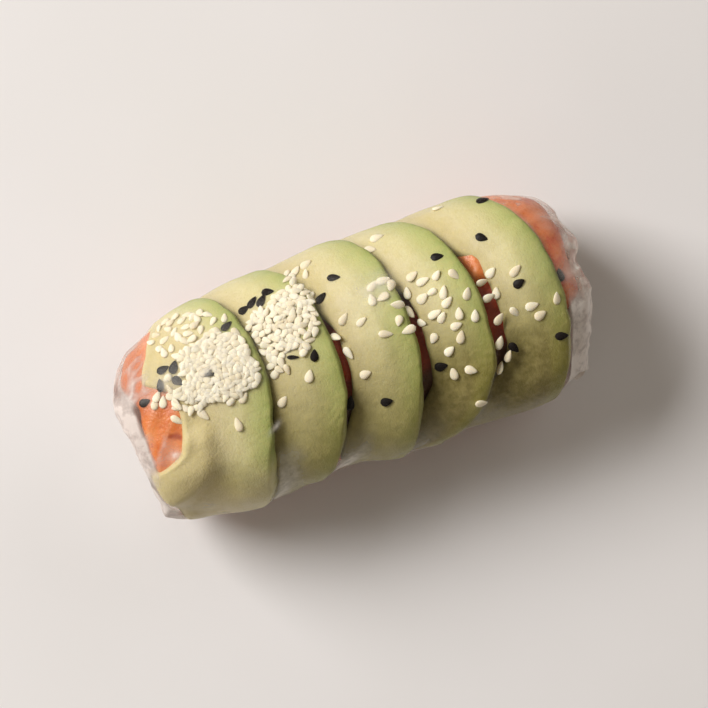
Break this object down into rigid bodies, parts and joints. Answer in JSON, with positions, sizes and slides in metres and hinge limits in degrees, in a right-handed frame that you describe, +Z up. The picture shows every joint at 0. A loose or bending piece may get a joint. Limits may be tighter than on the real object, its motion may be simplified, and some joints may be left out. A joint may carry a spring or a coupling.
{
  "type": "rice paper roll",
  "caption": "Whole rice paper roll: translucent sheet rolled round a salmon core with fanned avocado slices showing through the top, ends folded in, lying on its flat underside.",
  "frame": {"origin": "middle of the underside of the whole roll, on the surface it rests on", "axes": "+X along the roll, +Y to its far side (the sheet's free edge runs low along the near, -Y, side), +Z up"},
  "size_m": [0.1124, 0.0534, 0.0455],
  "materials": {
    "rice_paper": "clear, moist, slightly milky film, greyer where it is doubled or bridges a gap",
    "salmon": "moist orange fish flesh with paler fat lines",
    "avocado": "soft pale yellow flesh turning green towards the skin side",
    "white_sesame": "hulled sesame seeds, cream, satin",
    "black_sesame": "black sesame seeds, satin"
  },
  "bodies": {
    "root": {"rice_paper": "rice_paper", "filling": "salmon", "avocado_1": "avocado", "avocado_2": "avocado", "avocado_3": "avocado", "avocado_4": "avocado", "avocado_5": "avocado"}
  },
  "joints": []
}
